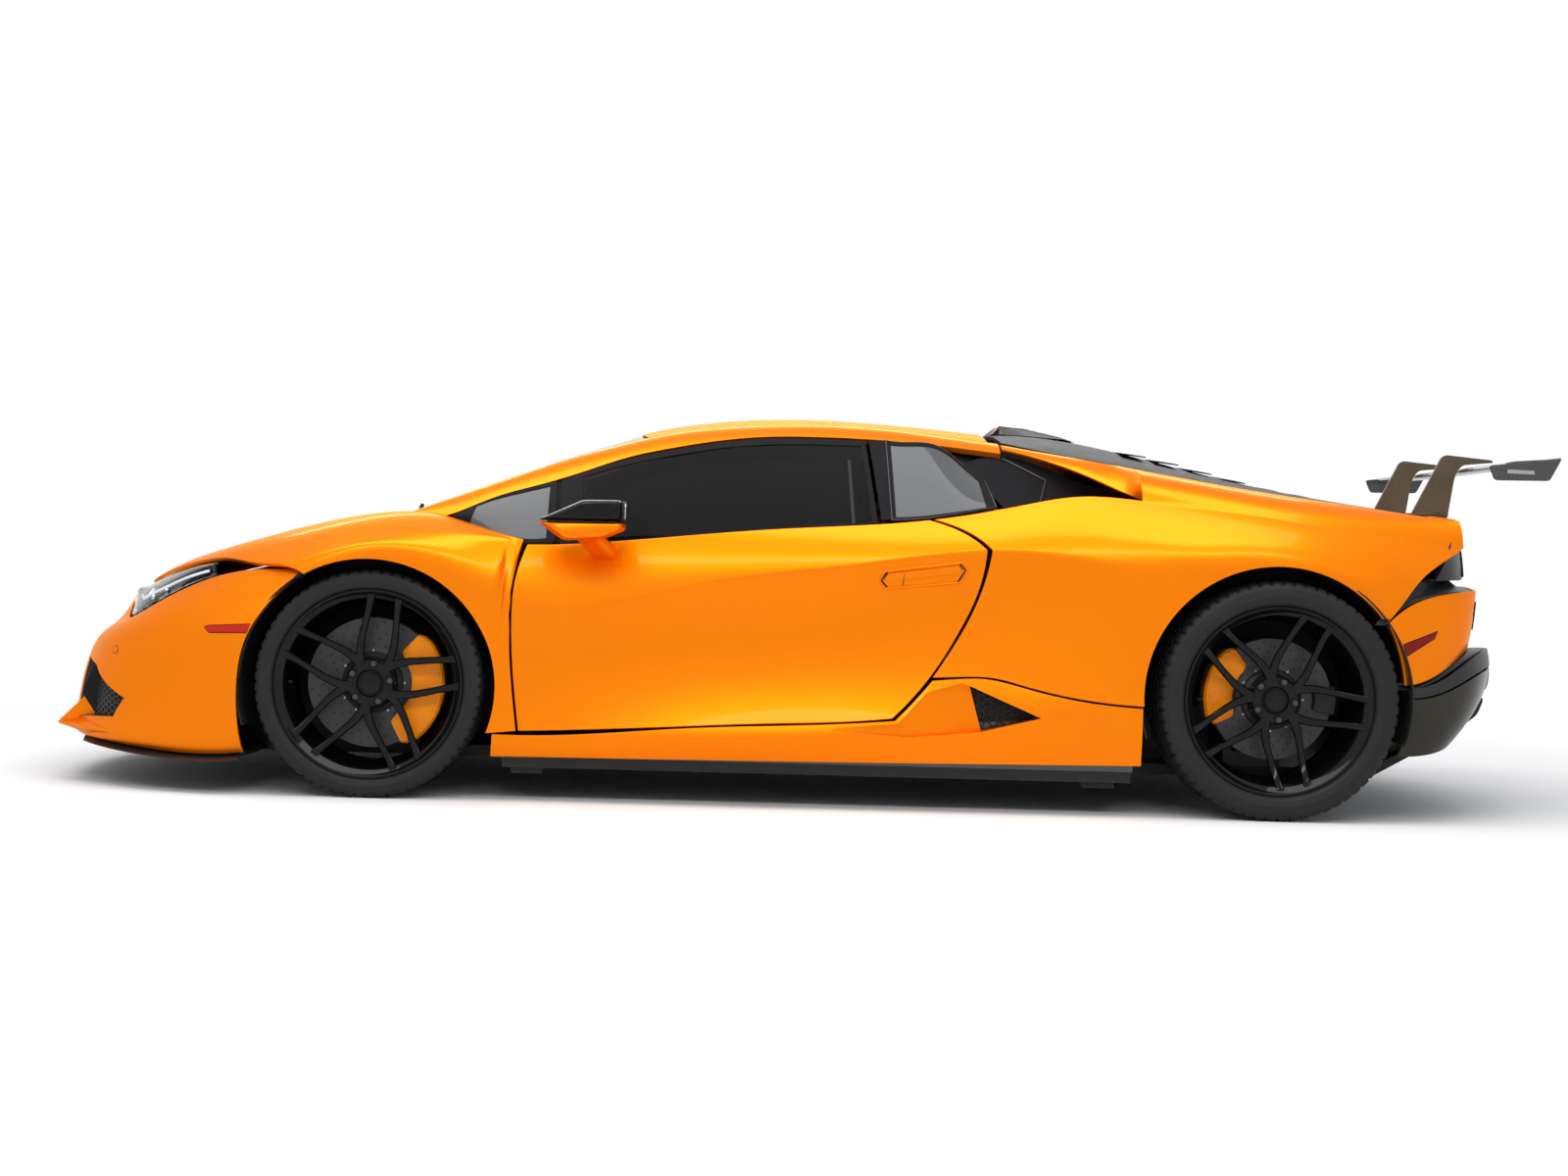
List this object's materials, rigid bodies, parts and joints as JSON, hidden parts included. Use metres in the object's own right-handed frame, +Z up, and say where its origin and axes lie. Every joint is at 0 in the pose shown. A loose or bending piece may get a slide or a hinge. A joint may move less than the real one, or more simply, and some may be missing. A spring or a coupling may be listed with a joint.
{
  "type": "supercar",
  "caption": "Low mid-engined two-seat supercar with opening doors, bonnet and engine lid, steering front wheels and a swan-neck rear wing.",
  "frame": {"origin": "centre of the bounding box on the ground under the parked car", "axes": "+X forward to the nose, +Y to the car's left, +Z up"},
  "size_m": [4.5019, 2.224, 1.164],
  "materials": {
    "body_paint": "gloss metallic clear coat",
    "gloss_black": "gloss",
    "carbon": "satin weave",
    "black_plastic": "matte",
    "tinted_glass": "clear tint",
    "tyre_rubber": "matte",
    "rim_black": "gloss black",
    "disc_steel": "machined",
    "caliper_orange": "gloss",
    "bare_steel": "satin",
    "cast_alloy": "cast",
    "pylon_bronze": "satin anodised",
    "cabin_trim": "soft grain",
    "seat_leather": "grained",
    "lamp_clear": "clear lens",
    "lamp_red": "gloss lens"
  },
  "bodies": {
    "body": {"arch_liners": "black_plastic", "cabin_bulkheads": "cabin_trim", "dashboard": "cabin_trim", "diffuser": "carbon", "engine_block": "cast_alloy", "floor_pan": "black_plastic", "front_bumper": "body_paint", "front_fender_left": "body_paint", "front_fender_right": "body_paint", "front_tub": "black_plastic", "headlamps": "lamp_clear", "hinge_posts": "black_plastic", "jack_pads": "black_plastic", "quarter_windows": "tinted_glass", "rear_bumper": "body_paint", "rear_calipers": "caliper_orange", "rear_fascia": "gloss_black", "rear_knuckles": "cast_alloy", "rear_quarter_left": "body_paint", "rear_quarter_right": "body_paint", "rear_subframe": "cast_alloy", "rear_wing": "carbon", "roof": "body_paint", "roof_rails": "body_paint", "seats": "seat_leather", "side_skirts": "body_paint", "side_trim": "gloss_black", "sill_beams": "black_plastic", "suspension_arms": "cast_alloy", "tail_deck": "body_paint", "tail_lamps": "lamp_red", "tail_pipes": "bare_steel", "windscreen": "tinted_glass", "wing_pylons": "pylon_bronze"},
    "door_left": {"door_left": "body_paint", "door_glass_left": "tinted_glass", "mirror_left": "gloss_black"},
    "door_right": {"door_right": "body_paint", "door_glass_right": "tinted_glass", "mirror_right": "gloss_black"},
    "bonnet": {"bonnet": "body_paint"},
    "engine_lid": {"engine_lid": "gloss_black"},
    "knuckle_left": {"front_knuckle_left": "cast_alloy", "front_caliper_left": "caliper_orange"},
    "knuckle_right": {"front_knuckle_right": "cast_alloy", "front_caliper_right": "caliper_orange"},
    "steering_wheel": {"steering_wheel": "cabin_trim"},
    "wheel_front_left": {"front_rim_left": "rim_black", "front_tyre_left": "tyre_rubber", "front_disc_left": "disc_steel"},
    "wheel_front_right": {"front_rim_right": "rim_black", "front_tyre_right": "tyre_rubber", "front_disc_right": "disc_steel"},
    "wheel_rear_left": {"rear_rim_left": "rim_black", "rear_tyre_left": "tyre_rubber", "rear_disc_left": "disc_steel"},
    "wheel_rear_right": {"rear_rim_right": "rim_black", "rear_tyre_right": "tyre_rubber", "rear_disc_right": "disc_steel"}
  },
  "joints": [
    {"name": "door_hinge_left", "type": "hinge", "parent": "body", "child": "door_left", "pos_m": [0.775, 0.876, 0.33], "axis": [0, 0, -1], "range_deg": [0, 60]},
    {"name": "door_hinge_right", "type": "hinge", "parent": "body", "child": "door_right", "pos_m": [0.775, -0.876, 0.33], "axis": [0, 0, 1], "range_deg": [0, 60]},
    {"name": "bonnet_hinge", "type": "hinge", "parent": "body", "child": "bonnet", "pos_m": [1.195, 0, 0.79], "axis": [0, -1, 0], "range_deg": [0, 55]},
    {"name": "engine_lid_hinge", "type": "hinge", "parent": "body", "child": "engine_lid", "pos_m": [-0.588, 0, 1.1], "axis": [0, 1, 0], "range_deg": [0, 45]},
    {"name": "steer_left", "type": "hinge", "parent": "body", "child": "knuckle_left", "pos_m": [1.235, 0.79, 0.3275], "axis": [0, 0, 1], "range_deg": [-30, 30]},
    {"name": "steer_right", "type": "hinge", "parent": "body", "child": "knuckle_right", "pos_m": [1.235, -0.79, 0.3275], "axis": [0, 0, 1], "range_deg": [-30, 30]},
    {"name": "spin_front_left", "type": "hinge", "parent": "knuckle_left", "child": "wheel_front_left", "pos_m": [1.235, 0.83, 0.3275], "axis": [0, 1, 0], "continuous": true},
    {"name": "spin_front_right", "type": "hinge", "parent": "knuckle_right", "child": "wheel_front_right", "pos_m": [1.235, -0.83, 0.3275], "axis": [0, 1, 0], "continuous": true},
    {"name": "spin_rear_left", "type": "hinge", "parent": "body", "child": "wheel_rear_left", "pos_m": [-1.385, 0.806, 0.3455], "axis": [0, 1, 0], "continuous": true},
    {"name": "spin_rear_right", "type": "hinge", "parent": "body", "child": "wheel_rear_right", "pos_m": [-1.385, -0.806, 0.3455], "axis": [0, 1, 0], "continuous": true},
    {"name": "steering_wheel_turn", "type": "hinge", "parent": "body", "child": "steering_wheel", "pos_m": [0.6, 0.37, 0.745], "axis": [-0.922, 0, 0.3872], "range_deg": [-360, 360]}
  ],
  "couplings": [
    {"joint": "steer_right", "follows": "steer_left", "ratio": 1},
    {"joint": "steering_wheel_turn", "follows": "steer_left", "ratio": 12}
  ]
}
